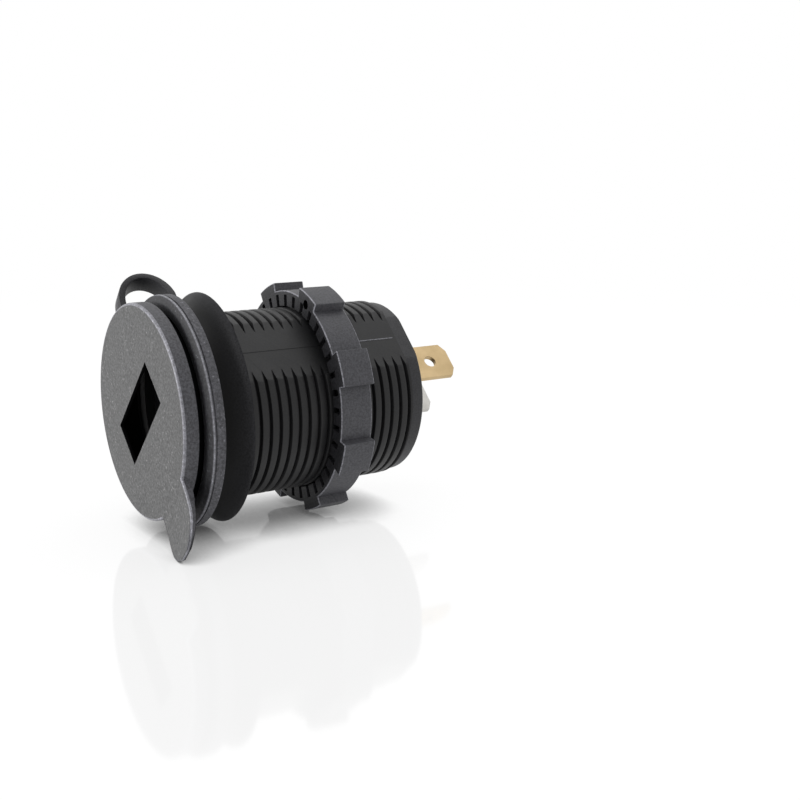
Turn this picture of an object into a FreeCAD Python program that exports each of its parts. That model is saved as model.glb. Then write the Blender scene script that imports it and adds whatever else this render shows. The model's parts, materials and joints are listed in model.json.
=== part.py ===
import FreeCAD, Part
import math
import os
import Sketcher
from types import SimpleNamespace

V = FreeCAD.Vector

# Driving dimensions in millimetres and degrees. The barrel axis is Y, the front faces -Y,
# and the panel plane is y = 0, where the sealing ring's rear face lies.
SIZES = {
    # housing
    "thread_dia": 28.0,
    "across_flats": 26.0,
    "barrel_length": 30.0,
    "neck_step": 0.3,
    "collar_dia": 26.8,
    "collar_length": 2.2,
    "collar_chamfer": 0.4,
    "barrel_bore": 23.2,
    "flange_dia": 34.4,
    "flange_thick": 2.3,
    "flange_chamfer": 0.5,
    "rim_line_width": 0.25,
    "rim_line_depth": 0.2,
    "rim_line_inset": 0.75,
    "recess_dia": 29.6,
    "recess_depth": 1.5,
    # soft sealing ring
    "ring_length": 4.3,
    "ring_inset": 0.15,
    "ring_wall": 1.05,
    "ring_clear": 0.15,
    "ring_lip": 0.25,
    "ring_lead": 0.5,
    "ring_knee": 2.0,
    "ring_knee_rise": 0.65,
    # soft cap
    "cap_gap": 1.3,
    "cap_thick": 2.2,
    "cap_dia": 31.4,
    "cap_edge": 0.45,
    "plug_clear": 0.3,
    "plug_wall": 2.0,
    "window_width": 16.2,
    "window_height": 7.4,
    "window_lift": 0.2,
    "window_corner": 0.6,
    "tab_width": 10.2,
    "tab_reach": 8.1,
    "tab_thick": 1.2,
    "tab_lead": 1.2,
    "tab_set": 0.55,
    "tab_bend": 24.0,
    "tab_round": 4.6,
    # strap between cap and ring
    "strap_width": 3.6,
    "strap_set": 0.6,
    "strap_thick": 1.0,
    "strap_radius": 4.15,
    "strap_crown": 23.5,
    "hinge_gap": 0.3,
    # ring nut
    "nut_front": 13.9,
    "nut_width": 5.1,
    "nut_clear": 0.2,
    "nut_over": 0.3,
    "nut_lobe_height": 1.2,
    "nut_lobes": 8,
    "nut_lobe_arc": 17.5,
    "nut_turn": 22.0,
    "nut_slots": 36,
    "nut_slot_width": 0.9,
    "nut_slot_depth": 0.9,
    "nut_slot_wall": 0.45,
    "nut_hole_dia": 1.5,
    "nut_hole_depth": 2.5,
    "nut_hole_radius": 15.35,
    # face plate with display and port
    "plate_inset": 3.0,
    "plate_thick": 1.6,
    "plate_dia": 24.0,
    "seat_clear": 0.1,
    "display_width": 14.5,
    "display_height": 6.0,
    "display_lift": 0.4,
    "lens_clear": 0.1,
    "lens_rim": 0.5,
    "lens_rim_thick": 0.6,
    "digit_height": 4.4,
    "digit_width": 2.6,
    "digit_pitch": 4.2,
    "segment_width": 0.55,
    "segment_gap": 0.12,
    "segment_thick": 0.15,
    "block_depth": 4.8,
    "block_air": 0.2,
    "port_width": 12.6,
    "port_height": 5.2,
    "port_drop": 6.2,
    "shell_clear": 0.1,
    "shell_wall": 0.3,
    "shell_length": 14.0,
    "tongue_width": 10.6,
    "tongue_thick": 1.9,
    "tongue_length": 9.2,
    "tongue_rise": 0.9,
    "contact_width": 1.1,
    "contact_thick": 0.2,
    "contact_pitch": 2.3,
    "contact_inset": 0.8,
    # boards and components
    "board_thick": 1.2,
    "board_width": 20.4,
    "board_length": 24.0,
    "small_board_width": 16.0,
    "small_board_height": 7.6,
    "header_length": 6.0,
    "header_side": 2.5,
    "header_place": -4.5,
    "choke_dia": 8.0,
    "choke_height": 5.4,
    "choke_flange": 1.0,
    "choke_waist": 5.0,
    "choke_x": -5.0,
    "choke_y": 13.2,
    "can_dia": 6.3,
    "can_height": 7.4,
    "can_x": 5.0,
    "output_can_y": 9.2,
    "input_can_y": 16.0,
    "chip_width": 4.0,
    "chip_length": 5.0,
    "chip_height": 1.6,
    "chip_y": 19.6,
    "diode_width": 2.6,
    "diode_length": 4.3,
    "diode_height": 2.1,
    "diode_x": -7.4,
    "diode_y": 19.8,
    # rear cover and blades
    "cover_thick": 2.0,
    "cover_inset": 0.6,
    "cover_clear": 0.1,
    "blade_width": 6.3,
    "blade_thick": 0.8,
    "blade_spread": 9.8,
    "blade_reach": 11.8,
    "blade_root": 0.5,
    "blade_tail_width": 2.2,
    "blade_tail_length": 6.0,
    "blade_tip_length": 0.9,
    "blade_tip_width": 1.4,
    "blade_hole_dia": 1.7,
    "blade_hole_inset": 3.9,
    "slot_clear": 0.1,
}


# A length that carries both its number and the sheet expression that gives it
class Size:
    def __init__(self, value, text):
        self.value = value
        self.text = text

    def __add__(self, other):
        other = size_of(other)
        return Size(self.value + other.value, "(%s + %s)" % (self.text, other.text))

    def __radd__(self, other):
        return size_of(other) + self

    def __sub__(self, other):
        other = size_of(other)
        return Size(self.value - other.value, "(%s - %s)" % (self.text, other.text))

    def __rsub__(self, other):
        return size_of(other) - self

    def __mul__(self, other):
        other = size_of(other)
        return Size(self.value * other.value, "(%s * %s)" % (self.text, other.text))

    def __rmul__(self, other):
        return size_of(other) * self

    def __truediv__(self, other):
        other = size_of(other)
        return Size(self.value / other.value, "(%s / %s)" % (self.text, other.text))

    def __neg__(self):
        return Size(-self.value, "(0 - %s)" % self.text)


def size_of(item):
    if isinstance(item, Size):
        return item
    return Size(float(item), "(%r)" % float(item))


def read_sheet(doc):
    sheet = doc.addObject("Spreadsheet::Sheet", "sizes")
    for row, (name, value) in enumerate(SIZES.items(), start=1):
        sheet.set("A%d" % row, name)
        sheet.set("B%d" % row, str(value))
        sheet.setAlias("B%d" % row, name)
    doc.recompute()
    return SimpleNamespace(**{name: Size(float(sheet.get(name)), "sizes." + name) for name in SIZES})


doc = FreeCAD.newDocument("usb_socket")
s = read_sheet(doc)
nodes = []


# Places along the axis and radii that several pieces share
ring_front = -s.ring_length
flange_front = ring_front - s.flange_thick
recess_floor = flange_front + s.recess_depth
plate_front = flange_front + s.plate_inset
plate_back = plate_front + s.plate_thick
flange_r = s.flange_dia / 2
thread_r = s.thread_dia / 2
neck_r = thread_r - s.neck_step
bore_r = s.barrel_bore / 2
plate_r = s.plate_dia / 2
cap_back = flange_front - s.cap_gap
cap_front = cap_back - s.cap_thick
cap_r = s.cap_dia / 2
strap_inner = s.strap_radius - s.strap_thick
strap_centre = s.strap_crown - s.strap_radius
crown = cap_back - s.strap_set - s.strap_thick / 2 + s.strap_radius
port_z = -s.port_drop
shell_width = s.port_width + 4 * s.shell_clear
shell_height = s.port_height + 4 * s.shell_clear
board_bottom = port_z + shell_height / 2
board_top = board_bottom + s.board_thick
lens_back = plate_back + s.lens_rim_thick
block_front = lens_back + s.block_air
block_back = block_front + s.block_depth
board_front = block_front
small_board_back = block_back + s.board_thick
cover_back = s.barrel_length - s.cover_inset
cover_front = cover_back - s.cover_thick


def new_body(label):
    body = doc.addObject("PartDesign::Body", label)
    body.Label = label
    nodes.append(body)
    return body


def bind(item, prop, size):
    size = size_of(size)
    item.setExpression(prop, size.text)


# A sketch on one of the body's own planes, moved along that plane's normal by a size
def sketch_on(body, name, role, lift=None):
    plane = next(f for f in body.Origin.OriginFeatures if f.Role == role)
    sketch = body.newObject("Sketcher::SketchObject", name)
    sketch.AttachmentSupport = (plane, "")
    sketch.MapMode = "FlatFace"
    if lift is not None:
        sketch.AttachmentOffset = FreeCAD.Placement(V(0, 0, size_of(lift).value), FreeCAD.Rotation())
        bind(sketch, "AttachmentOffset.Base.z", lift)
    return sketch


def fix_number(sketch, kind, geo, pos, size):
    axis = -2 if kind == "DistanceX" else -1
    size = size_of(size)
    if size.value == 0:
        sketch.addConstraint(Sketcher.Constraint("PointOnObject", geo, pos, axis))
        return
    index = sketch.addConstraint(Sketcher.Constraint(kind, -1, 1, geo, pos, size.value))
    sketch.setExpression("Constraints[%d]" % index, size.text)


# The arc from p to q with the given radius, and which of its ends comes first on the way
def arc_between(p, q, radius, turn):
    chord = q - p
    left = V(-chord.y, chord.x, 0)
    left.normalize()
    rise = math.sqrt(radius ** 2 - (chord.Length / 2) ** 2)
    centre = (p + q) * 0.5 + left * (rise if turn == "left" else -rise)
    first, last = (p, q) if turn == "left" else (q, p)
    angles = [math.atan2(e.y - centre.y, e.x - centre.x) for e in (first, last)]
    arc = Part.ArcOfCircle(Part.Circle(centre, V(0, 0, 1), radius), angles[0], angles[1])
    return arc, (1, 2) if turn == "left" else (2, 1)


# A closed outline through the points. A point is (a, b), or (a, b, turn, radius) where an arc starts.
def outline(sketch, points):
    spots = [V(size_of(p[0]).value, size_of(p[1]).value, 0) for p in points]
    edges = []
    for i, point in enumerate(points):
        p, q = spots[i], spots[(i + 1) % len(spots)]
        if len(point) == 4:
            radius = size_of(point[3])
            curve, ends = arc_between(p, q, radius.value, point[2])
            geo = sketch.addGeometry(curve, False)
        else:
            geo = sketch.addGeometry(Part.LineSegment(p, q), False)
            ends = (1, 2)
        edges.append((geo, ends))
    for i, (geo, ends) in enumerate(edges):
        after, after_ends = edges[(i + 1) % len(edges)]
        sketch.addConstraint(Sketcher.Constraint("Coincident", geo, ends[1], after, after_ends[0]))
    for (geo, ends), point in zip(edges, points):
        fix_number(sketch, "DistanceX", geo, ends[0], point[0])
        fix_number(sketch, "DistanceY", geo, ends[0], point[1])
        if len(point) == 4:
            index = sketch.addConstraint(Sketcher.Constraint("Radius", geo, size_of(point[3]).value))
            sketch.setExpression("Constraints[%d]" % index, size_of(point[3]).text)
    return sketch


def rectangle(sketch, low_x, low_y, high_x, high_y):
    return outline(sketch, [(low_x, low_y), (high_x, low_y), (high_x, high_y), (low_x, high_y)])


def centred(sketch, width, height, x=0.0, y=0.0):
    width, height, x, y = (size_of(item) for item in (width, height, x, y))
    return rectangle(sketch, x - width / 2, y - height / 2, x + width / 2, y + height / 2)


def circle(sketch, radius, x=0.0, y=0.0):
    radius = size_of(radius)
    middle = V(size_of(x).value, size_of(y).value, 0)
    geo = sketch.addGeometry(Part.Circle(middle, V(0, 0, 1), radius.value), False)
    index = sketch.addConstraint(Sketcher.Constraint("Radius", geo, radius.value))
    sketch.setExpression("Constraints[%d]" % index, radius.text)
    fix_number(sketch, "DistanceX", geo, 3, x)
    fix_number(sketch, "DistanceY", geo, 3, y)
    return sketch


# A turned feature about the barrel axis, whole or over an arc that is centred on the sketch
def turned(body, kind, sketch, arc=None):
    feature = body.newObject("PartDesign::" + kind, sketch.Name + "_turned")
    feature.Profile = sketch
    feature.ReferenceAxis = (sketch, ["V_Axis"])
    feature.Angle = 360
    if arc is not None:
        feature.Midplane = True
        bind(feature, "Angle", arc)
    sketch.Visibility = False
    doc.recompute()
    return feature


def extruded(body, kind, sketch, length, side="One side", reverse=False):
    feature = body.newObject("PartDesign::" + kind, sketch.Name + "_cut" if kind == "Pocket" else sketch.Name + "_pad")
    feature.Profile = sketch
    feature.SideType = side
    feature.Reversed = reverse
    bind(feature, "Length", length)
    before = 0 if feature.BaseFeature is None else feature.BaseFeature.Shape.Volume
    doc.recompute()
    change = feature.Shape.Volume - before
    if change == 0 or (change > 0) != (kind == "Pad"):
        raise RuntimeError(sketch.Name + " changed the volume by %.3f" % change)
    return feature


def polar(body, feature, count):
    pattern = body.newObject("PartDesign::PolarPattern", feature.Name + "_ring")
    pattern.Originals = [feature]
    axis = next(f for f in body.Origin.OriginFeatures if f.Role == "Y_Axis")
    pattern.Axis = (axis, [""])
    pattern.Angle = 360
    bind(pattern, "Occurrences", count)
    body.Tip = pattern
    doc.recompute()
    return pattern


# Rounds or chamfers the edges of the last feature that the test picks out
def dress(body, kind, prop, size, wanted):
    base = body.Tip
    names = ["Edge%d" % (i + 1) for i, edge in enumerate(base.Shape.Edges) if wanted(edge)]
    feature = body.newObject("PartDesign::" + kind, base.Name + "_" + kind.lower())
    feature.Base = (base, names)
    bind(feature, prop, size)
    body.Tip = feature
    doc.recompute()
    return feature


def near(a, b):
    return abs(a - size_of(b).value) < 1e-4


def along_y(edge):
    ends = [v.Point for v in edge.Vertexes]
    return len(ends) == 2 and near(ends[0].x, ends[1].x) and near(ends[0].z, ends[1].z)


# Barrel, flange and collar are one moulding: turned profile, then the two flats along the barrel
def make_housing():
    body = new_body("housing")
    collar_r = s.collar_dia / 2
    collar_front = s.barrel_length - s.collar_length
    seat_r = plate_r + s.seat_clear
    line_front = flange_front + s.rim_line_inset
    line_back = line_front + s.rim_line_width
    line_r = flange_r - s.rim_line_depth
    profile = outline(sketch_on(body, "housing_profile", "XY_Plane"), [
        (s.recess_dia / 2, flange_front),
        (flange_r - s.flange_chamfer, flange_front),
        (flange_r, flange_front + s.flange_chamfer),
        (flange_r, line_front),
        (line_r, line_front),
        (line_r, line_back),
        (flange_r, line_back),
        (flange_r, ring_front),
        (neck_r, ring_front),
        (neck_r, 0.0),
        (thread_r, 0.0),
        (thread_r, collar_front),
        (collar_r, collar_front),
        (collar_r, s.barrel_length - s.collar_chamfer),
        (collar_r - s.collar_chamfer, s.barrel_length),
        (bore_r, s.barrel_length),
        (bore_r, plate_back),
        (seat_r, plate_back),
        (seat_r, recess_floor),
        (s.recess_dia / 2, recess_floor),
    ])
    turned(body, "Revolution", profile)
    for side, name in ((1, "right_flat"), (-1, "left_flat")):
        flat = s.across_flats / 2 * side
        beyond = s.thread_dia * side
        outer = sketch_on(body, name, "XZ_Plane")
        rectangle(outer, min_size(flat, beyond), -s.thread_dia, max_size(flat, beyond), s.thread_dia)
        extruded(body, "Pocket", outer, s.barrel_length)


def min_size(a, b):
    return a if a.value < b.value else b


def max_size(a, b):
    return b if a.value < b.value else a


# Half of the strap: a limb and a quarter arch, drawn from the side and padded across its width
def strap_half(body, name, foot, centre_y, side):
    outer = s.strap_radius
    limb_out = centre_y + side * outer
    limb_in = centre_y + side * strap_inner
    turn_out, turn_in = ("left", "right") if side > 0 else ("right", "left")
    sketch = outline(sketch_on(body, name, "YZ_Plane"), [
        (limb_in, foot),
        (limb_out, foot),
        (limb_out, strap_centre, turn_out, outer),
        (centre_y, strap_centre + outer),
        (centre_y, strap_centre + strap_inner, turn_in, strap_inner),
        (limb_in, strap_centre),
    ])
    extruded(body, "Pad", sketch, s.strap_width, side="Symmetric")


# Bell-shaped ring: a narrow neck behind the flange flares to a thin lip at the panel
def make_sealing_ring():
    body = new_body("sealing_ring")
    inner_r = neck_r + s.ring_clear
    lip_r = flange_r - s.ring_inset
    face_r = thread_r + s.ring_clear * 2
    profile = outline(sketch_on(body, "ring_profile", "XY_Plane"), [
        (inner_r, ring_front),
        (inner_r + s.ring_wall, ring_front),
        (inner_r + s.ring_wall + s.ring_knee_rise, -s.ring_knee),
        (lip_r, -s.ring_lip),
        (lip_r, 0.0),
        (face_r, 0.0),
        (inner_r, -s.ring_lead),
    ])
    turned(body, "Revolution", profile)
    strap_half(body, "ring_strap", face_r, crown + s.hinge_gap, 1)


# Cap: pull tab that leads forward, disc with plug rim, its half of the strap and the window
def make_cap_lid():
    body = new_body("cap_lid")
    make_tab(body)
    plug_r = s.recess_dia / 2 - s.plug_clear
    plug_end = recess_floor - s.plug_clear
    profile = outline(sketch_on(body, "cap_profile", "XY_Plane"), [
        (0.0, cap_front),
        (cap_r - s.cap_edge, cap_front),
        (cap_r, cap_front + s.cap_edge),
        (cap_r, cap_back),
        (plug_r, cap_back),
        (plug_r, plug_end),
        (plug_r - s.plug_wall, plug_end),
        (plug_r - s.plug_wall, cap_back),
        (0.0, cap_back),
    ])
    turned(body, "Revolution", profile)
    strap_half(body, "cap_strap", cap_r - s.strap_thick, crown, -1)
    window = sketch_on(body, "cap_window", "XZ_Plane", -cap_front)
    centred(window, s.window_width, s.window_height, 0.0, s.window_lift)
    extruded(body, "Pocket", window, s.cap_thick)
    dress(body, "Fillet", "Radius", s.window_corner, window_corner)


def window_corner(edge):
    return along_y(edge) and near(abs(edge.Vertexes[0].X), s.window_width / 2)


# Tab: a tongue with a rounded end, then its curved front and back are cut from the side
def make_tab(body):
    foot = -(cap_r - s.tab_thick)
    end = -(cap_r + s.tab_reach)
    face = cap_front + s.tab_set
    tip = cap_front - s.tab_lead
    half = s.tab_width / 2
    corner = s.tab_round
    beyond = s.tab_thick
    tongue = outline(sketch_on(body, "tab_front", "XZ_Plane", -(face + 2 * beyond)), [
        (-half, foot),
        (-half, end + corner, "left", corner),
        (corner - half, end),
        (half - corner, end, "left", corner),
        (half, end + corner),
        (half, foot),
    ])
    extruded(body, "Pad", tongue, face - tip + 3 * beyond)
    front = outline(sketch_on(body, "tab_face_curve", "YZ_Plane"), [
        (face, foot, "right", s.tab_bend),
        (tip, end),
        (tip, end - beyond),
        (tip - 2 * beyond, end - beyond),
        (tip - 2 * beyond, foot + beyond),
        (face, foot + beyond),
    ])
    extruded(body, "Pocket", front, 2 * s.tab_width, side="Symmetric")
    back = outline(sketch_on(body, "tab_back_curve", "YZ_Plane"), [
        (face + beyond, foot, "right", s.tab_bend),
        (tip + beyond, end),
        (tip + beyond, end - beyond),
        (face + 3 * beyond, end - beyond),
        (face + 3 * beyond, foot + beyond),
        (face + beyond, foot + beyond),
    ])
    extruded(body, "Pocket", back, 2 * s.tab_width, side="Symmetric")


# Castellated nut: ring, lobes, radial slots on both faces and one small hole in a lobe
def make_ring_nut():
    body = new_body("ring_nut")
    bore = thread_r + s.nut_clear
    lobe_r = flange_r + s.nut_over
    valley_r = lobe_r - s.nut_lobe_height
    nut_back = s.nut_front + s.nut_width
    ring = sketch_on(body, "nut_profile", "XY_Plane")
    rectangle(ring, bore, s.nut_front, valley_r, nut_back)
    turned(body, "Revolution", ring)
    lobe = sketch_on(body, "nut_lobe", "XY_Plane")
    rectangle(lobe, valley_r - s.nut_slot_wall, s.nut_front, lobe_r, nut_back)
    polar(body, turned(body, "Revolution", lobe, s.nut_lobe_arc), s.nut_lobes)
    for name, face, reverse in (("front_slot", s.nut_front, False), ("rear_slot", nut_back, True)):
        slot = sketch_on(body, name, "XZ_Plane", -face)
        half = s.nut_slot_width / 2
        rectangle(slot, bore - s.nut_clear, -half, valley_r - s.nut_slot_wall, half)
        polar(body, extruded(body, "Pocket", slot, s.nut_slot_depth, reverse=reverse), s.nut_slots)
    hole = circle(sketch_on(body, "nut_hole", "XZ_Plane", -s.nut_front), s.nut_hole_dia / 2, s.nut_hole_radius)
    extruded(body, "Pocket", hole, s.nut_hole_depth)
    body.Placement = FreeCAD.Placement(V(0, 0, 0), FreeCAD.Rotation(V(0, -1, 0), s.nut_turn.value))
    bind(body, "Placement.Rotation.Angle", s.nut_turn)


# Inner front panel with the display and port openings
def make_face_plate():
    body = new_body("face_plate")
    extruded(body, "Pad", circle(sketch_on(body, "plate_disc", "XZ_Plane", -plate_back), plate_r), s.plate_thick)
    display = sketch_on(body, "display_opening", "XZ_Plane", -plate_front)
    centred(display, s.display_width, s.display_height, 0.0, s.display_lift)
    extruded(body, "Pocket", display, s.plate_thick)
    port = sketch_on(body, "port_opening", "XZ_Plane", -plate_front)
    centred(port, s.port_width, s.port_height, 0.0, port_z)
    extruded(body, "Pocket", port, s.plate_thick)


# Lens: a block that fills the opening, with a thin rim behind the plate
def make_display_lens():
    body = new_body("display_lens")
    rim = sketch_on(body, "lens_rim_outline", "XZ_Plane", -lens_back)
    centred(rim, s.display_width + 2 * s.lens_rim, s.display_height + 2 * s.lens_rim, 0.0, s.display_lift)
    extruded(body, "Pad", rim, s.lens_rim_thick)
    front = sketch_on(body, "lens_front", "XZ_Plane", -plate_back)
    width = s.display_width - 2 * s.lens_clear
    height = s.display_height - 2 * s.lens_clear
    centred(front, width, height, 0.0, s.display_lift)
    extruded(body, "Pad", front, s.plate_thick - s.lens_clear)


def box(label, low, high, node=True):
    item = doc.addObject("Part::Box", label)
    item.Label = label
    for prop, a, b in zip(("Length", "Width", "Height"), low, high):
        bind(item, prop, size_of(b) - size_of(a))
    for axis, a in zip("xyz", low):
        bind(item, "Placement.Base." + axis, a)
    if node:
        nodes.append(item)
    return item


# An upright can on the main board
def can(label, radius, height, x, y, lift, node=True):
    item = doc.addObject("Part::Cylinder", label)
    item.Label = label
    bind(item, "Radius", radius)
    bind(item, "Height", height)
    for axis, place in zip("xyz", (x, y, lift)):
        bind(item, "Placement.Base." + axis, place)
    if node:
        nodes.append(item)
    return item


def combine(kind, label, base, tool):
    item = doc.addObject("Part::" + kind, label)
    item.Label = label
    item.Base = base
    item.Tool = tool
    nodes.append(item)
    return item


# Three seven-bar digits, each bar a solid of its own on the block's front
def make_digits():
    bars = []
    half_w = s.digit_width / 2
    half_h = s.digit_height / 2
    bar = s.segment_width
    gap = s.segment_gap
    for digit in (-1, 0, 1):
        x = digit * s.digit_pitch
        for level in (-1, 0, 1):
            z = s.display_lift + level * (half_h - bar / 2)
            low = (x - half_w + bar + gap, block_front - s.segment_thick, z - bar / 2)
            high = (x + half_w - bar - gap, block_front, z + bar / 2)
            bars.append(box("bar_%d_%d" % (digit + 1, level + 1), low, high, node=False))
        for side in (-1, 1):
            for level in (-1, 1):
                middle = x + side * (half_w - bar / 2)
                start = s.display_lift + (level * gap if level > 0 else gap - half_h)
                end = start + half_h - 2 * gap
                low = (middle - bar / 2, block_front - s.segment_thick, start)
                high = (middle + bar / 2, block_front, end)
                bars.append(box("post_%d_%d_%d" % (digit + 1, side + 1, level + 1), low, high, node=False))
    group = doc.addObject("Part::Compound", "digit_segments")
    group.Label = "digit_segments"
    group.Links = bars
    nodes.append(group)


def make_display():
    half = s.display_width / 2
    box("display_block", (-half, block_front, board_top), (half, block_back, s.display_lift + s.display_height / 2))
    make_digits()
    small_half = s.small_board_width / 2
    box("display_board", (-small_half, block_back, board_top),
        (small_half, small_board_back, board_top + s.small_board_height))
    box("header_strip", (s.header_place - s.header_length / 2, small_board_back, board_top),
        (s.header_place + s.header_length / 2, small_board_back + s.header_side, board_top + s.header_side))


# Folded shell of the port, open at the front
def make_usb_shell():
    body = new_body("usb_shell")
    shell = sketch_on(body, "shell_outline", "XZ_Plane", -plate_back)
    centred(shell, shell_width, shell_height, 0.0, port_z)
    extruded(body, "Pad", shell, s.shell_length, reverse=True)
    hollow = sketch_on(body, "shell_hollow", "XZ_Plane", -plate_back)
    inner_width = shell_width - 2 * s.shell_wall
    inner_height = shell_height - 2 * s.shell_wall
    centred(hollow, inner_width, inner_height, 0.0, port_z)
    extruded(body, "Pocket", hollow, s.shell_length - s.shell_wall)


# Insulator: a block at the back of the shell with the tongue in front of it, and its four contacts
def make_usb_inside():
    back = plate_back + s.shell_length - s.shell_wall
    block_start = plate_back + s.contact_inset + s.tongue_length
    inner_width = shell_width - 2 * s.shell_wall
    inner_height = shell_height - 2 * s.shell_wall
    tongue_low = port_z + s.tongue_rise - s.tongue_thick / 2
    tongue_high = tongue_low + s.tongue_thick
    rear = box("insulator_block", (-inner_width / 2, block_start, port_z - inner_height / 2),
               (inner_width / 2, back, port_z + inner_height / 2), node=False)
    tongue = box("insulator_tongue", (-s.tongue_width / 2, plate_back + s.contact_inset, tongue_low),
                 (s.tongue_width / 2, block_start, tongue_high), node=False)
    combine("Fuse", "usb_insulator", rear, tongue)
    for number in range(4):
        x = (number - 1.5) * s.contact_pitch
        low = (x - s.contact_width / 2, plate_back + 2 * s.contact_inset, tongue_low - s.contact_thick)
        high = (x + s.contact_width / 2, block_start, tongue_low)
        box("usb_contact_%d" % (number + 1), low, high)


# Drum core of the choke with a waist, and the winding that fills the waist
def make_choke():
    drum = can("choke_drum", s.choke_dia / 2, s.choke_height, s.choke_x, s.choke_y, board_top, node=False)
    room = s.choke_height - 2 * s.choke_flange
    lift = board_top + s.choke_flange
    rings = []
    for use in ("gap", "coil"):
        outer = can("choke_%s_out" % use, s.choke_dia / 2, room, s.choke_x, s.choke_y, lift, node=False)
        inner = can("choke_%s_in" % use, s.choke_waist / 2, room, s.choke_x, s.choke_y, lift, node=False)
        rings.append((outer, inner))
    hollow = doc.addObject("Part::Cut", "choke_gap")
    hollow.Base, hollow.Tool = rings[0]
    combine("Cut", "choke_core", drum, hollow)
    combine("Cut", "choke_winding", *rings[1])


def make_boards():
    half = s.board_width / 2
    box("main_board", (-half, board_front, board_bottom), (half, board_front + s.board_length, board_top))
    make_choke()
    can("output_capacitor", s.can_dia / 2, s.can_height, s.can_x, s.output_can_y, board_top)
    can("input_capacitor", s.can_dia / 2, s.can_height, s.can_x, s.input_can_y, board_top)
    box("converter_chip", (-s.chip_width / 2, s.chip_y - s.chip_length / 2, board_top),
        (s.chip_width / 2, s.chip_y + s.chip_length / 2, board_top + s.chip_height))
    box("rectifier_diode", (s.diode_x - s.diode_width / 2, s.diode_y - s.diode_length / 2, board_top),
        (s.diode_x + s.diode_width / 2, s.diode_y + s.diode_length / 2, board_top + s.diode_height))


# Rear disc with a slot for each blade
def make_rear_cover():
    body = new_body("rear_cover")
    disc = circle(sketch_on(body, "cover_disc", "XZ_Plane", -cover_back), bore_r - s.cover_clear)
    extruded(body, "Pad", disc, s.cover_thick)
    for side, name in ((1, "positive_slot"), (-1, "negative_slot")):
        slot = sketch_on(body, name, "XZ_Plane", -cover_front)
        width = s.blade_thick + 2 * s.slot_clear
        centred(slot, width, s.blade_width + 2 * s.slot_clear, side * s.blade_spread / 2)
        extruded(body, "Pocket", slot, s.cover_thick)


# Flat blade: tapered tip, full-width middle, narrow tail that stands on the main board
def make_blade(label, side):
    body = new_body(label)
    tip = s.barrel_length + s.blade_reach
    half = s.blade_width / 2
    root = cover_front - s.blade_root
    tip_half = half - s.blade_tip_width
    tail_end = root - s.blade_tail_length
    tail_top = board_top + s.blade_tail_width
    middle = side * s.blade_spread / 2 - s.blade_thick / 2
    plan = outline(sketch_on(body, label + "_plan", "YZ_Plane", middle), [
        (tail_end, board_top),
        (root, board_top),
        (root, -half),
        (tip - s.blade_tip_length, -half),
        (tip, -tip_half),
        (tip, tip_half),
        (tip - s.blade_tip_length, half),
        (root, half),
        (root, tail_top),
        (tail_end, tail_top),
    ])
    extruded(body, "Pad", plan, s.blade_thick)
    hole = sketch_on(body, label + "_hole", "YZ_Plane", middle + s.blade_thick)
    extruded(body, "Pocket", circle(hole, s.blade_hole_dia / 2, tip - s.blade_hole_inset), s.blade_thick)


make_housing()
make_sealing_ring()
make_cap_lid()
make_ring_nut()
make_face_plate()
make_display_lens()
make_display()
make_usb_shell()
make_usb_inside()
make_boards()
make_rear_cover()
make_blade("positive_blade", 1)
make_blade("negative_blade", -1)
doc.recompute()

for item in doc.Objects:
    if "Invalid" in item.State or "Error" in item.State:
        raise RuntimeError(item.Label + " failed: " + ", ".join(item.State))
for node in nodes:
    if node.Shape.isNull() or not node.Shape.isValid():
        raise RuntimeError(node.Label + " has no valid shape")

os.makedirs("parts", exist_ok=True)
for node in nodes:
    node.Shape.exportStep("parts/%s.step" % node.Label)
    spread = node.Shape.BoundBox
    print("%-18s volume %9.2f  y %7.2f to %7.2f" % (node.Label, node.Shape.Volume, spread.YMin, spread.YMax))
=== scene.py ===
import json
import math

import bmesh
import bpy
from mathutils import Matrix, Vector

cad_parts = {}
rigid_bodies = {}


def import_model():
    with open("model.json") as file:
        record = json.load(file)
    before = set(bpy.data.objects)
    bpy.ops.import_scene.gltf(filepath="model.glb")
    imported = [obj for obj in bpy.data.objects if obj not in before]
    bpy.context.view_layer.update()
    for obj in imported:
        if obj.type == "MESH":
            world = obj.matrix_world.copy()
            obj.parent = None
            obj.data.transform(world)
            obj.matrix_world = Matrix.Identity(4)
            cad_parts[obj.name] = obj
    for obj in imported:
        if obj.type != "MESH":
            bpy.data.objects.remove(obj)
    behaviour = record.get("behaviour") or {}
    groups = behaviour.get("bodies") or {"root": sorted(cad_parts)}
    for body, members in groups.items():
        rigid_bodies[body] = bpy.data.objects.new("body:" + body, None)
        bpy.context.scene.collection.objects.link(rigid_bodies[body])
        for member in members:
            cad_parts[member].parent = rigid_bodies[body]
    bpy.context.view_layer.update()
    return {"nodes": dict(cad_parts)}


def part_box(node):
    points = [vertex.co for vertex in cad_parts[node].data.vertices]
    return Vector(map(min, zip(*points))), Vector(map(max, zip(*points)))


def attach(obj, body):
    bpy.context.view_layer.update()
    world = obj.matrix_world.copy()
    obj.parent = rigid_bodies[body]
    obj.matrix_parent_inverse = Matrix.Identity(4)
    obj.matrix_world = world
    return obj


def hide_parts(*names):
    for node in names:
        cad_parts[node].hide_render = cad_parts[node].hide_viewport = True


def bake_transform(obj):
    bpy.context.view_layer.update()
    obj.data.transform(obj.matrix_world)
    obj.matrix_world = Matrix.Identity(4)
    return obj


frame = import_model()
mm = 0.001


# general mesh helpers, all in millimetres until addPiece scales to metres

def millimetres(node):
    return [[value / mm for value in corner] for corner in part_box(node)]


def wire(bm, points, closed=True):
    verts = [bm.verts.new((r, y, 0)) for r, y in points]
    pairs = list(zip(verts, verts[1:]))
    if closed:
        pairs.append((verts[-1], verts[0]))
    return verts + [bm.edges.new(pair) for pair in pairs]


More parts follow.
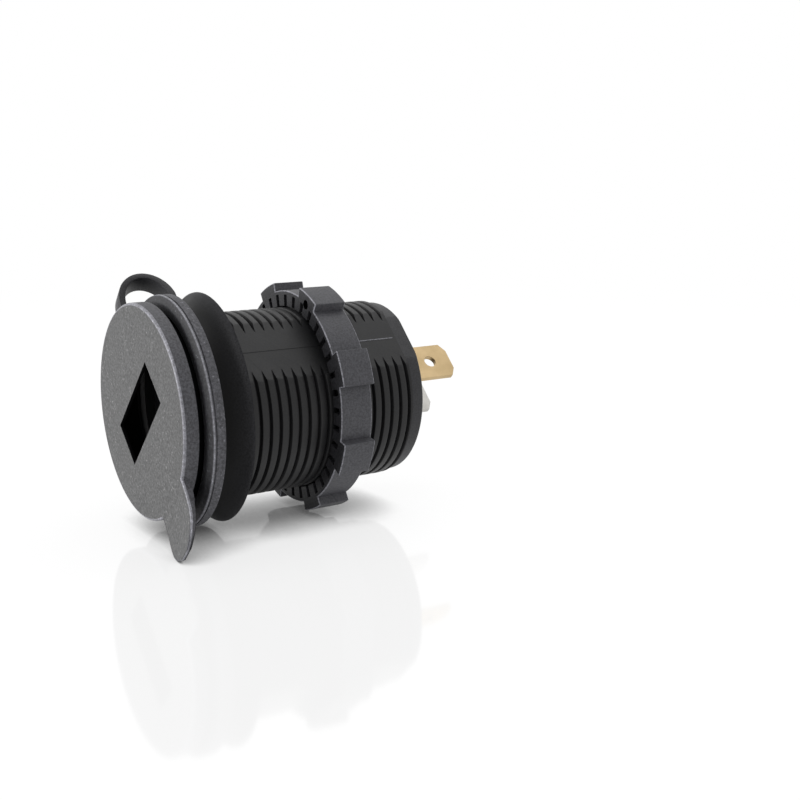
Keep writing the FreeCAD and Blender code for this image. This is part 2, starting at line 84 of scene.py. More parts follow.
def lathe(bm, geom, steps=160):
    bmesh.ops.spin(bm, geom=geom, cent=(0, 0, 0), axis=(0, 1, 0), angle=math.tau, steps=steps, use_merge=True)
    bmesh.ops.remove_doubles(bm, verts=bm.verts, dist=1e-4)
    bmesh.ops.dissolve_degenerate(bm, edges=bm.edges, dist=1e-5)
    bmesh.ops.recalc_face_normals(bm, faces=bm.faces)


def latheOf(points, steps=160, closed=True):
    bm = bmesh.new()
    lathe(bm, wire(bm, points, closed), steps)
    return bm


def reach(vert):
    return math.hypot(vert.co.x, vert.co.z)


def onRing(edge, radius, y, slack=0.01):
    return all(abs(reach(v) - radius) < slack and abs(v.co.y - y) < slack for v in edge.verts)


def roundOff(bm, wanted, size, segments=3, clamp=True):
    edges = [e for e in bm.edges if wanted(e)]
    bmesh.ops.bevel(bm, geom=edges, offset=size, offset_type="OFFSET", segments=segments, profile=0.5,
                    affect="EDGES", material=-1, clamp_overlap=clamp)


def roundRings(bm, spots, size, segments=3):
    roundOff(bm, lambda e: any(onRing(e, r, y) for r, y in spots), size, segments)


def sharpConvex(edge, angle=0.7):
    return len(edge.link_faces) == 2 and edge.is_convex and edge.calc_face_angle(0) > angle


def fillOpen(bm):
    edges = [e for e in bm.edges if e.is_boundary]
    filled = bmesh.ops.edgeloop_fill(bm, edges=edges)["faces"]
    bmesh.ops.triangulate(bm, faces=filled, ngon_method="EAR_CLIP")
    bmesh.ops.recalc_face_normals(bm, faces=bm.faces)


def cutAt(bm, place, normal, keepBelow=True):
    geom = bm.verts[:] + bm.edges[:] + bm.faces[:]
    bmesh.ops.bisect_plane(bm, geom=geom, plane_co=place, plane_no=normal, dist=1e-5,
                           clear_outer=keepBelow, clear_inner=not keepBelow)


def cutFlats(bm, half):
    for side in (1, -1):
        cutAt(bm, (half * side, 0, 0), (side, 0, 0))
        fillOpen(bm)


def block(bm, low, high):
    size = [h - l for l, h in zip(low, high)]
    middle = [(h + l) / 2 for l, h in zip(low, high)]
    matrix = Matrix.Translation(middle) @ Matrix.Diagonal((*size, 1))
    return bmesh.ops.create_cube(bm, size=1, matrix=matrix)["verts"]


def joinInto(bm, other):
    mesh = bpy.data.meshes.new("joined")
    other.to_mesh(mesh)
    other.free()
    bm.from_mesh(mesh)
    bpy.data.meshes.remove(mesh)


def addPiece(name, bm, materials, body, nodes, smooth=32):
    bmesh.ops.scale(bm, vec=(mm, mm, mm), verts=bm.verts)
    mesh = bpy.data.meshes.new(name)
    bm.to_mesh(mesh)
    bm.free()
    mesh.shade_smooth()
    mesh.set_sharp_from_angle(angle=math.radians(smooth))
    for material in materials:
        mesh.materials.append(material)
    piece = bpy.data.objects.new(name, mesh)
    bpy.context.collection.objects.link(piece)
    if body:
        even = piece.modifiers.new("evenNormals", "WEIGHTED_NORMAL")
        even.keep_sharp = True
        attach(piece, body)
    if nodes:
        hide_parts(*nodes)
    print("piece", name, len(mesh.polygons), "faces")
    return piece


# materials

def startMaterial(name):
    material = bpy.data.materials.new(name)
    material.use_nodes = True
    tree = material.node_tree
    shader = tree.nodes["Principled BSDF"]
    place = tree.nodes.new("ShaderNodeTexCoord").outputs["Object"]
    return material, tree, shader, place


def noise(tree, place, scale, detail=2.0, roughness=0.5):
    node = tree.nodes.new("ShaderNodeTexNoise")
    node.inputs["Scale"].default_value = scale
    node.inputs["Detail"].default_value = detail
    node.inputs["Roughness"].default_value = roughness
    tree.links.new(place, node.inputs["Vector"])
    return node.outputs["Fac"]


def ramp(tree, value, stops):
    node = tree.nodes.new("ShaderNodeValToRGB")
    elements = node.color_ramp.elements
    while len(elements) < len(stops):
        elements.new(0.5)
    for element, (spot, colour) in zip(elements, stops):
        element.position = spot
        element.color = (*colour, 1)
    tree.links.new(value, node.inputs["Fac"])
    return node.outputs["Color"]


def spread(tree, value, low, high):
    node = tree.nodes.new("ShaderNodeMapRange")
    node.inputs["To Min"].default_value = low
    node.inputs["To Max"].default_value = high
    tree.links.new(value, node.inputs["Value"])
    return node.outputs["Result"]


def bump(tree, shader, value, strength, distance):
    node = tree.nodes.new("ShaderNodeBump")
    node.inputs["Strength"].default_value = strength
    node.inputs["Distance"].default_value = distance
    tree.links.new(value, node.inputs["Height"])
    tree.links.new(node.outputs["Normal"], shader.inputs["Normal"])


def mixShaders(tree, share, first, second):
    mix = tree.nodes.new("ShaderNodeMixShader")
    tree.links.new(share, mix.inputs["Fac"])
    tree.links.new(first, mix.inputs[1])
    tree.links.new(second, mix.inputs[2])
    return mix.outputs["Shader"]


plasticLook = {"cloudScale": 260, "cloudDetail": 3, "grainDetail": 4, "grainRoughness": 0.7, "darkAt": 0.38,
               "lightAt": 0.6, "paintedGlintFrom": 0.63, "paintedGlintAt": 0.7, "relief": 0.5}


def mouldedPlastic(name, dark, light, roughness, grainScale, grainDepth, specular=0.35, paintedGlint=None):
    look = plasticLook
    material, tree, shader, place = startMaterial(name)
    cloud = noise(tree, place, look["cloudScale"], look["cloudDetail"])
    grain = noise(tree, place, grainScale, look["grainDetail"], look["grainRoughness"])
    stops = [(look["darkAt"], dark), (look["lightAt"], light)]
    # bright specks on the grain peaks: painted glints
    if paintedGlint:
        stops += [(look["paintedGlintFrom"], light), (look["paintedGlintAt"], paintedGlint)]
    tree.links.new(ramp(tree, grain, stops), shader.inputs["Base Color"])
    tree.links.new(spread(tree, cloud, *roughness), shader.inputs["Roughness"])
    shader.inputs["Specular IOR Level"].default_value = specular
    bump(tree, shader, grain, look["relief"], grainDepth * mm)
    return material


def flaredRubber(name, dark, light, roughness, innerR, outerR, neckShadeShare):
    material = mouldedPlastic(name, dark, light, roughness, grainScale=4200, grainDepth=0.012, specular=0.12)
    tree = material.node_tree
    shader = tree.nodes["Principled BSDF"]
    # scale the base colour from neckShadeShare at innerR up to full at outerR: painted shade, darker towards
    # the neck under the flange
    flat = tree.nodes.new("ShaderNodeVectorMath")
    flat.operation = "MULTIPLY"
    flat.inputs[1].default_value = (1, 0, 1)
    tree.links.new(tree.nodes["Texture Coordinate"].outputs["Object"], flat.inputs[0])
    out = tree.nodes.new("ShaderNodeVectorMath")
    out.operation = "LENGTH"
    tree.links.new(flat.outputs["Vector"], out.inputs[0])
    share = spread(tree, out.outputs["Value"], neckShadeShare, 1.0)
    share.node.inputs["From Min"].default_value = innerR * mm
    share.node.inputs["From Max"].default_value = outerR * mm
    shaded = tree.nodes.new("ShaderNodeVectorMath")
    shaded.operation = "SCALE"
    tree.links.new(shader.inputs["Base Color"].links[0].from_socket, shaded.inputs[0])
    tree.links.new(share, shaded.inputs["Scale"])
    tree.links.new(shaded.outputs["Vector"], shader.inputs["Base Color"])
    return material


metalLook = {"alongShare": 0.06, "brushScale": 3600, "brushDetail": 4, "brushRoughness": 0.65,
             "tarnishScale": 300, "tarnishDetail": 4, "darkAt": 0.3, "lightAt": 0.65,
             "relief": 0.25, "depth": 0.01}


def sheetMetal(name, dark, light, roughness):
    look = metalLook
    material, tree, shader, place = startMaterial(name)
    stretch = tree.nodes.new("ShaderNodeMapping")
    stretch.inputs["Scale"].default_value = (1, look["alongShare"], 1)
    tree.links.new(place, stretch.inputs["Vector"])
    along = stretch.outputs["Vector"]
    brushed = noise(tree, along, look["brushScale"], look["brushDetail"], look["brushRoughness"])
    tarnish = noise(tree, place, look["tarnishScale"], look["tarnishDetail"])
    stops = [(look["darkAt"], dark), (look["lightAt"], light)]
    tree.links.new(ramp(tree, tarnish, stops), shader.inputs["Base Color"])
    tree.links.new(spread(tree, brushed, *roughness), shader.inputs["Roughness"])
    shader.inputs["Metallic"].default_value = 1.0
    bump(tree, shader, brushed, look["relief"], look["depth"] * mm)
    return material


def smokedLens(name, dark, light, roughness, clear):
    material, tree, shader, place = startMaterial(name)
    cloud = noise(tree, place, 500, 3)
    tree.links.new(ramp(tree, cloud, [(0.3, dark), (0.7, light)]), shader.inputs["Base Color"])
    tree.links.new(spread(tree, cloud, *roughness), shader.inputs["Roughness"])
    shader.inputs["Transmission Weight"].default_value = clear
    return material


def grey(level, blue=1.12):
    return (level, level * (1.02 - 0.02 * blue), level * blue)


finishes = {
    "barrel": mouldedPlastic("satinBarrel", grey(0.003), grey(0.008), (0.4, 0.52), 5200, 0.012, 0.36),
    "collar": mouldedPlastic("satinCollar", grey(0.012), grey(0.026), (0.42, 0.55), 4200, 0.016, 0.36),
    "nut": mouldedPlastic("satinNut", grey(0.035), grey(0.065), (0.45, 0.58), 3400, 0.02, 0.34),
    # pale edge lines: a painted highlight on the rounded nut edges and on the rear stretch of the barrel
    # seams
    "paintedEdgeHighlight": mouldedPlastic("paintedEdgeHighlight", grey(0.09), grey(0.23), (0.4, 0.5), 3400, 0.01, 0.4),
    "rim": mouldedPlastic("grainedRim", grey(0.035), grey(0.085), (0.55, 0.7), 2600, 0.05, 0.36, grey(0.28)),
    # darker front chamfer of the flange: painted shade where the cap overhangs it
    "rimFrontShade": mouldedPlastic("shadedRim", grey(0.012), grey(0.03), (0.5, 0.65), 2600, 0.04, 0.3,
                               grey(0.12)),
    "capFace": mouldedPlastic("grainedCap", grey(0.03, 1.01), grey(0.078, 1.01), (0.5, 0.62), 2800, 0.05,
                              0.4, grey(0.24, 1.0)),
    # pale band on the cap's front rim and the flange's front edge: a painted highlight, with painted glints
    "capEdgeHighlight": mouldedPlastic("paintedCapEdgeHighlight", grey(0.1), grey(0.2), (0.4, 0.5), 2400, 0.03, 0.5, grey(0.45)),
    "capSide": mouldedPlastic("smoothCap", grey(0.034), grey(0.075), (0.5, 0.62), 2800, 0.03, 0.34),
    # near-black window walls, plug and back of the cap and the nut's pin hole: painted shade
    "paintedShadeInside": mouldedPlastic("capInsidePaintedShade", grey(0.0012), grey(0.0025), (0.5, 0.6), 8000, 0.008, 0.04),
    # the bell's colour darkens towards its neck in flaredRubber: painted shade under the flange
    "bell": flaredRubber("smoothBell", grey(0.008), grey(0.02), (0.4, 0.52), 15.2, 17.1, 0.15),
    "strap": mouldedPlastic("softStrap", grey(0.01), grey(0.024), (0.4, 0.52), 4200, 0.014, 0.26),
    # darker front face and slots of the nut: painted shade behind the bell
    "nutFaceShade": mouldedPlastic("shadedNut", grey(0.01), grey(0.024), (0.45, 0.58), 3400, 0.02, 0.2),
    "plate": mouldedPlastic("innerPlate", grey(0.02), grey(0.03), (0.4, 0.5), 7000, 0.01),
    "pale": mouldedPlastic("paleMoulding", (0.6, 0.6, 0.57), (0.7, 0.7, 0.67), (0.4, 0.5), 5000, 0.006),
    "board": mouldedPlastic("boardLacquer", (0.01, 0.08, 0.03), (0.02, 0.13, 0.05), (0.3, 0.4), 3000, 0.004),
    "chip": mouldedPlastic("chipMoulding", grey(0.02), grey(0.03), (0.5, 0.6), 7000, 0.008),
    "ferrite": mouldedPlastic("ferriteGrain", grey(0.05), grey(0.09), (0.6, 0.75), 4000, 0.02),
    "bars": mouldedPlastic("redBars", (0.4, 0.02, 0.015), (0.55, 0.03, 0.02), (0.3, 0.4), 4000, 0.004),
    "lens": smokedLens("smokedLens", (0.02, 0.016, 0.016), (0.03, 0.025, 0.025), (0.25, 0.35), 0.3),
    "brass": sheetMetal("bladeBrass", (0.45, 0.335, 0.18), (0.55, 0.415, 0.235), (0.42, 0.55)),
    "tin": sheetMetal("bladeTin", (0.4, 0.39, 0.37), (0.5, 0.49, 0.465), (0.35, 0.5)),
    "steel": sheetMetal("shellSteel", (0.5, 0.5, 0.5), (0.62, 0.62, 0.61), (0.22, 0.36)),
    "gold": sheetMetal("contactGold", (0.66, 0.48, 0.18), (0.78, 0.6, 0.26), (0.2, 0.3)),
    "copper": sheetMetal("windingCopper", (0.5, 0.2, 0.1), (0.62, 0.28, 0.14), (0.25, 0.35)),
    "can": sheetMetal("canAluminium", (0.58, 0.58, 0.59), (0.7, 0.7, 0.71), (0.25, 0.4)),
}
print("finishes", len(finishes))


# barrel with helical thread, flats, flange and rear collar

housingLow, housingHigh = millimetres("housing")
barrelSizes = {
    "threadR": 14.0, "rootR": 13.42, "pitch": 1.55, "firstValley": 2.2, "turnSteps": 96,
    "boreR": 11.6, "seatR": 12.1, "seatBack": -2.0, "recessR": 14.8, "recessFloor": -5.1,
    "flangeBack": -4.3, "neckR": 13.7, "landEnd": 1.86, "collarR": 13.6, "collarFront": 27.8,
    "flatHalf": 13.0, "lineY": -5.72, "lineHalf": 0.1, "lineDepth": 0.16,
    "chamferIn": 1.0, "chamferBack": 0.5, "edge": 0.18, "rearEdge": 0.3, "boreEdge": 0.15,
    "seamWidth": 0.14, "seamHeight": 0.05, "seamSink": 0.2,
    "seamFront": 0.1, "seamTurn": 19.5, "seamEnd": 27.2,
}
barrelFinishes = ("barrel", "rim", "collar", "rimFrontShade", "paintedEdgeHighlight", "capEdgeHighlight")


def threadedTube(size):
    bm = bmesh.new()
    crest, root, pitch = size["threadR"], size["rootR"], size["pitch"]
    start = size["firstValley"] - 2 * pitch
    depth = crest - root
    rising = [(0.0, 0.0), (0.05, 0.0), (0.155, 0.72), (0.2, 0.92), (0.28, 1.0)]
    ridge = rising + [(1.0 - along, rise) for along, rise in reversed(rising)]
    profile = wire(bm, [(root + rise * depth, start + along * pitch) for along, rise in ridge], closed=False)
    turns = math.ceil((size["collarFront"] - start) / pitch) + 1
    count = size["turnSteps"]
    bmesh.ops.spin(bm, geom=profile, cent=(0, 0, 0), axis=(0, 1, 0), dvec=(0, pitch / count, 0),
                   angle=math.tau * turns, steps=count * turns)
    bmesh.ops.remove_doubles(bm, verts=bm.verts, dist=1e-3)
    cutAt(bm, (0, size["landEnd"], 0), (0, 1, 0), keepBelow=False)
    cutAt(bm, (0, size["collarFront"], 0), (0, 1, 0))
    ends = []
    for y in (size["landEnd"], size["collarFront"]):
        outer = [e for e in bm.edges if e.is_boundary and all(abs(v.co.y - y) < 1e-3 for v in e.verts)]
        place = Matrix.Translation((0, y, 0)) @ Matrix.Rotation(math.pi / 2, 4, "X")
        ring = bmesh.ops.create_circle(bm, segments=count, radius=size["boreR"], matrix=place)["verts"]
        inner = list({e for v in ring for e in v.link_edges})
        bmesh.ops.triangle_fill(bm, use_beauty=True, edges=outer + inner)
        ends += inner
    bmesh.ops.bridge_loops(bm, edges=ends)
    bmesh.ops.recalc_face_normals(bm, faces=bm.faces)
    cutFlats(bm, size["flatHalf"])
    return bm


def flangeFinish(face, size, front):
    spot = face.calc_center_median()
    # a thin band on the flange's front chamfer gets the painted edge highlight; the rest of the front chamfer
    # gets painted shade
    highlightBand = abs(spot.y - front - size["chamferBack"]) < 0.13 and 0.1 < -face.normal.y < 0.62
    if math.hypot(spot.x, spot.z) < size["recessR"] + 0.02 or spot.y > size["flangeBack"] + 0.2:
        return "barrel"
    if highlightBand:
        return "capEdgeHighlight"
    return "rimFrontShade" if spot.y < front + size["chamferBack"] - 0.05 else "rim"


def makeFlange(size):
    outer, front, edge = housingHigh[0], housingLow[1], size["edge"]
    chamfer = [(outer - size["chamferIn"], front), (outer, front + size["chamferBack"])]
    lineFront, lineBack = size["lineY"] - size["lineHalf"], size["lineY"] + size["lineHalf"]
    lineR = outer - size["lineDepth"]
    bm = latheOf([(size["recessR"], front), *chamfer,
                  (outer, lineFront), (lineR, lineFront), (lineR, lineBack), (outer, lineBack),
                  (outer, size["flangeBack"]), (size["neckR"], size["flangeBack"]), (size["neckR"], 0),
                  (size["boreR"], 0), (size["boreR"], size["seatBack"]), (size["seatR"], size["seatBack"]),
                  (size["seatR"], size["recessFloor"]), (size["recessR"], size["recessFloor"])], 200)
    roundRings(bm, [(size["recessR"], front), *chamfer, (outer, size["flangeBack"])], edge)
    for face in bm.faces:
        face.material_index = barrelFinishes.index(flangeFinish(face, size, front))
    return bm


def addSeams(bm, size):
    outer, inner = size["flatHalf"] + size["seamHeight"], size["flatHalf"] - size["seamSink"]
    half = size["seamWidth"] / 2
    for side in (1, -1):
        low, high = sorted((side * inner, side * outer))
        # the rear stretch of each seam ridge gets the painted edge highlight
        for start, stop, finish in ((size["seamFront"], size["seamTurn"], "barrel"),
                                    (size["seamTurn"], size["seamEnd"], "paintedEdgeHighlight")):
            for vert in block(bm, (low, start, -half), (high, stop, half)):
                for face in vert.link_faces:
                    face.material_index = barrelFinishes.index(finish)


def makeBarrel(size):
    end = housingHigh[1]
    bm = makeFlange(size)
    land = latheOf([(size["boreR"], 0), (size["threadR"], 0), (size["threadR"], size["landEnd"]),
                    (size["boreR"], size["landEnd"])])
    cutFlats(land, size["flatHalf"])
    joinInto(bm, land)
    joinInto(bm, threadedTube(size))
    collar = latheOf([(size["boreR"], size["collarFront"]), (size["collarR"], size["collarFront"]),
                      (size["collarR"], end), (size["boreR"], end)])
    roundRings(collar, [(size["collarR"], end)], size["rearEdge"])
    roundRings(collar, [(size["boreR"], end)], size["boreEdge"])
    cutFlats(collar, size["flatHalf"])
    for face in collar.faces:
        face.material_index = barrelFinishes.index("collar")
    joinInto(bm, collar)
    addSeams(bm, size)
    materials = [finishes[key] for key in barrelFinishes]
    return addPiece("barrelShell", bm, materials, "socket", ["housing"])


makeBarrel(barrelSizes)


# bell-shaped sealing ring

ringHigh = millimetres("sealing_ring")[1]
bellSizes = {
    "boreR": 13.85, "neckR": 14.9, "flareCentre": (20.39, -4.62), "flareTurn": -49.3, "lipOver": 0.18,
    "faceR": 14.3, "lead": 0.5, "front": -4.3,
}


def makeBell(size):
    lipR = ringHigh[0] + size["lipOver"]
    bm = bmesh.new()
    neck = bm.verts.new((size["neckR"], size["front"], 0))
    bmesh.ops.spin(bm, geom=[neck], cent=(*size["flareCentre"], 0), axis=(0, 0, 1),
                   angle=math.radians(size["flareTurn"]), steps=10)
    bm.verts.ensure_lookup_table()
    flareEnd = max(bm.verts, key=lambda v: v.co.x)
    rest = [bm.verts.new((r, y, 0)) for r, y in
            [(lipR, 0), (size["faceR"], 0), (size["boreR"], -size["lead"]), (size["boreR"], size["front"])]]
    for pair in zip([flareEnd] + rest, rest + [neck]):
        bm.edges.new(pair)
    lathe(bm, bm.verts[:] + bm.edges[:], 200)
    roundRings(bm, [(lipR, 0), (size["neckR"], size["front"])], 0.1, 2)
    return addPiece("bellRing", bm, [finishes["bell"]], "socket", ["sealing_ring"])


makeBell(bellSizes)


# soft cap with window, plug rim and curled pull tab

capLow = millimetres("cap_lid")[0]
capSizes = {
    "radius": 15.85, "front": -10.1, "back": -7.9, "tabBack": -8.9, "edge": 0.35,
    "lean": (1.2, 1.6), "shift": (0.5, -0.36, 0.2),
    "plugR": 14.05, "plugInner": 12.5, "plugEnd": -5.4, "web": 0.5,
    "windowX": 7.85, "windowLow": -3.95, "windowHigh": 3.25, "windowCorner": 0.6,
    "tabHalf": 5.15, "tabRows": [-16.3, -17.4, -18.5, -19.5, -20.4, -21.2, -22.0, -22.7, -23.2, -23.55],
    "tabRound": 4.6, "tabEnd": 0.2, "tabTaper": 0.55, "tabCurl": 1.2, "curlFrom": -15.0, "curlPower": 1.75,
}
capFinishes = ("capFace", "capSide", "paintedShadeInside", "capEdgeHighlight")


def cutWindow(bm, size):
    for place, normal in (((size["windowX"], 0, 0), (1, 0, 0)), ((-size["windowX"], 0, 0), (1, 0, 0)),
                          ((0, 0, size["windowLow"]), (0, 0, 1)), ((0, 0, size["windowHigh"]), (0, 0, 1))):
        geom = bm.verts[:] + bm.edges[:] + bm.faces[:]
        bmesh.ops.bisect_plane(bm, geom=geom, plane_co=place, plane_no=normal, dist=1e-5)
    inside = []
    for face in bm.faces:
        spot = face.calc_center_median()
        if abs(spot.x) < size["windowX"] and size["windowLow"] < spot.z < size["windowHigh"]:
            inside.append(face)
    bmesh.ops.delete(bm, geom=inside, context="FACES")
    bmesh.ops.bridge_loops(bm, edges=[e for e in bm.edges if e.is_boundary])


def tabCurl(size, z):
    share = max(0.0, (size["curlFrom"] - z) / (size["curlFrom"] - capLow[2]))
    return -size["tabCurl"] * share ** size["curlPower"]


def growTab(bm, size):
    for x in (size["tabHalf"], -size["tabHalf"]):
        geom = bm.verts[:] + bm.edges[:] + bm.faces[:]
        bmesh.ops.bisect_plane(bm, geom=geom, plane_co=(x, 0, 0), plane_no=(1, 0, 0), dist=1e-5)
    wall = []
    for face in bm.faces:
        spot = face.calc_center_median()
        ahead = size["front"] + 0.01 < spot.y < size["tabBack"] - 0.01
        if ahead and spot.z < -size["tabHalf"] and abs(spot.x) < size["tabHalf"]:
            wall.append(face)
    tip = capLow[2]
    straight = tip + size["tabRound"]
    lastShare = 1.0
    for z in size["tabRows"] + [tip]:
        grown = bmesh.ops.extrude_face_region(bm, geom=wall)["geom"]
        bmesh.ops.delete(bm, geom=wall, context="FACES_ONLY")
        wall = [g for g in grown if isinstance(g, bmesh.types.BMFace)]
        rounding = max(0.0, straight - z) / size["tabRound"]
        share = max(size["tabEnd"], math.sqrt(max(0.0, 1 - rounding ** 2)))
        thinner = size["tabTaper"] * (size["tabRows"][0] - z) / (size["tabRows"][0] - tip)
        for vert in {v for f in wall for v in f.verts}:
            vert.co.x *= share / lastShare
            vert.co.z = z
            if vert.co.y > (size["front"] + size["tabBack"]) / 2:
                vert.co.y = size["tabBack"] - thinner
        lastShare = share
    bmesh.ops.delete(bm, geom=[e for e in bm.edges if e.is_wire], context="EDGES")
    for vert in bm.verts:
        vert.co.y += tabCurl(size, vert.co.z)


def capFinish(face, size):
    spot = face.calc_center_median()
    outside = math.hypot(spot.x, spot.z) > size["plugR"]
    # the rounded front rim of the cap gets a painted highlight
    if outside and 0.1 < -face.normal.y < 0.97 and spot.y < size["tabBack"] - 0.4:
        return "capEdgeHighlight"
    if face.normal.y < -0.6 and spot.y < size["tabBack"]:
        return "capFace"
    # faces inside the plug radius (window walls, plug and back) are painted near-black as painted shade
    return "capSide" if outside else "paintedShadeInside"


def makeCap(size):
    webBack = size["front"] + size["web"]
    bm = latheOf([(0, size["front"]), (size["radius"], size["front"]), (size["radius"], size["tabBack"]),
                  (size["radius"], size["back"]), (size["plugR"], size["back"]),
                  (size["plugR"], size["plugEnd"]), (size["plugInner"], size["plugEnd"]),
                  (size["plugInner"], webBack), (0, webBack)], 160, closed=False)
    cutWindow(bm, size)
    growTab(bm, size)
    bmesh.ops.dissolve_degenerate(bm, edges=bm.edges, dist=1e-4)
    bmesh.ops.recalc_face_normals(bm, faces=bm.faces)

    def windowCorner(edge):
        atSide = all(abs(abs(v.co.x) - size["windowX"]) < 0.01 for v in edge.verts)
        level = abs(edge.verts[0].co.z - edge.verts[1].co.z) < 0.01
        return atSide and level and not sharpConvex(edge) and abs(edge.calc_length() - size["web"]) < 0.05

    def frontOutline(edge):
        atRim = max(reach(v) for v in edge.verts) > size["radius"] - 0.3
        return sharpConvex(edge, 0.9) and atRim and max(v.co.y for v in edge.verts) < size["tabBack"] - 0.3

    roundOff(bm, windowCorner, size["windowCorner"], 4)
    roundOff(bm, frontOutline, size["edge"], 3, clamp=False)
    for face in bm.faces:
        face.material_index = capFinishes.index(capFinish(face, size))
    middle = Matrix.Translation((0, size["front"], 0))
    leanX, leanZ = (math.radians(angle) for angle in size["lean"])
    lean = Matrix.Rotation(leanX, 4, "X") @ Matrix.Rotation(leanZ, 4, "Z")
    bm.transform(Matrix.Translation(size["shift"]) @ middle @ lean @ middle.inverted())
    materials = [finishes[key] for key in capFinishes]
    return addPiece("softCap", bm, materials, "lid", ["cap_lid"])


makeCap(capSizes)


# strap from cap to ring, arched over its crown

strapSizes = {
    "width": 3.2, "thick": 1.03, "capY": -7.9, "ringY": -0.65, "capX": 1.1, "ringX": 3.2,
    "base": 18.33, "rise": 4.68, "lean": -0.29, "capFoot": 13.6, "ringFoot": 14.9, "round": 0.22, "steps": 36,
    "bendReach": 3.8,
}


def strapStations(size):
    half, middle = (size["ringY"] - size["capY"]) / 2, (size["ringY"] + size["capY"]) / 2
    stations = [(size["capX"], size["capY"], size["capFoot"], 0.0)]
    for step in range(size["steps"] + 1):
        turn = math.pi * step / size["steps"]
        x = size["capX"] + (size["ringX"] - size["capX"]) * step / size["steps"]
        y = middle - half * math.cos(turn) + size["lean"] * math.sin(turn)
        along, up = half * math.sin(turn) + size["lean"] * math.cos(turn), size["rise"] * math.cos(turn)
        slope = math.atan2(along, up)
        stations.append((x, y, size["base"] + size["rise"] * math.sin(turn), slope))
    stations.append((size["ringX"], size["ringY"], size["ringFoot"], math.pi))
    return stations


def makeStrap(size):
    bm = bmesh.new()
    halfX, halfY = size["width"] / 2, size["thick"] / 2
    rows = []
    for x, y, z, slope in strapStations(size):
        row = []
        for along, across in ((-halfX, -halfY), (halfX, -halfY), (halfX, halfY), (-halfX, halfY)):
            row.append(bm.verts.new((x + along, y + across * math.cos(slope), z - across * math.sin(slope))))
        rows.append(row)
    for low, high in zip(rows, rows[1:]):
        for side in range(4):
            after = (side + 1) % 4
            bm.faces.new((low[side], low[after], high[after], high[side]))
    bm.faces.new(rows[0])
    bm.faces.new(rows[-1])
    bmesh.ops.recalc_face_normals(bm, faces=bm.faces)

    def freeEdge(edge):
        return sharpConvex(edge, 1.2) and max(v.co.z for v in edge.verts) > size["base"] - 1

    roundOff(bm, freeEdge, size["round"], 2)
    strap = addPiece("capStrap", bm, [finishes["strap"]], None, [])
    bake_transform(strap)
    return strap


makeStrap(strapSizes)


# castellated ring nut

nutLow, nutHigh = millimetres("ring_nut")
nutSizes = {
    "boreR": 14.2, "slotEndR": 15.95, "valleyR": 16.55, "lobeR": 17.9, "steps": 720, "edge": 0.16,
    "lobes": 8, "lobeArc": 17.5, "lobeTurn": 22.25,
    "slots": 36, "slotArc": 3.5, "slotTurn": 6.25, "slotDepth": 0.9,
    "holeR": 0.72, "holeReach": 16.24, "holeTurn": 22.2, "holeDepth": 2.5,
}
nutFinishes = ("nut", "paintedEdgeHighlight", "nutFaceShade", "paintedShadeInside")


def offCentre(face, count, turn):
    spot = face.calc_center_median()
    pitch = 360 / count
    angle = math.degrees(math.atan2(spot.z, spot.x)) - turn
    return abs((angle + pitch / 2) % pitch - pitch / 2)


def cutSlots(bm, size, y, depth):
    doomed = []
    for face in bm.faces:
        spot = face.calc_center_median()
        radius = math.hypot(spot.x, spot.z)
        onFace = abs(spot.y - y) < 0.01 and radius < size["slotEndR"]
        onBore = radius < size["boreR"] + 0.01 and abs(spot.y - y - depth / 2) < 0.02
        if (onFace or onBore) and offCentre(face, size["slots"], size["slotTurn"]) < size["slotArc"] / 2:
            doomed.append(face)
    bmesh.ops.delete(bm, geom=doomed, context="FACES")
    mouth = [e for e in bm.edges if e.is_boundary and all(abs(v.co.y - y) < 0.01 for v in e.verts)]
    grown = bmesh.ops.extrude_edge_only(bm, edges=mouth)["geom"]
    bmesh.ops.translate(bm, vec=(0, depth, 0), verts=[g for g in grown if isinstance(g, bmesh.types.BMVert)])
    bmesh.ops.remove_doubles(bm, verts=bm.verts, dist=1e-3)
    bmesh.ops.holes_fill(bm, edges=[e for e in bm.edges if e.is_boundary], sides=0)


def growLobes(bm, size):
    wall = []
    for face in bm.faces:
        spot = face.calc_center_median()
        outer = math.hypot(spot.x, spot.z) > size["valleyR"] - 0.01
        if outer and offCentre(face, size["lobes"], size["lobeTurn"]) < size["lobeArc"] / 2:
            wall.append(face)
    grown = bmesh.ops.extrude_face_region(bm, geom=wall)["geom"]
    bmesh.ops.delete(bm, geom=wall, context="FACES_ONLY")
    scale = size["lobeR"] / size["valleyR"]
    bmesh.ops.scale(bm, vec=(scale, 1, scale), verts=[g for g in grown if isinstance(g, bmesh.types.BMVert)])


def holeSpot(size):
    turn = math.radians(size["holeTurn"])
    return size["holeReach"] * math.cos(turn), size["holeReach"] * math.sin(turn)


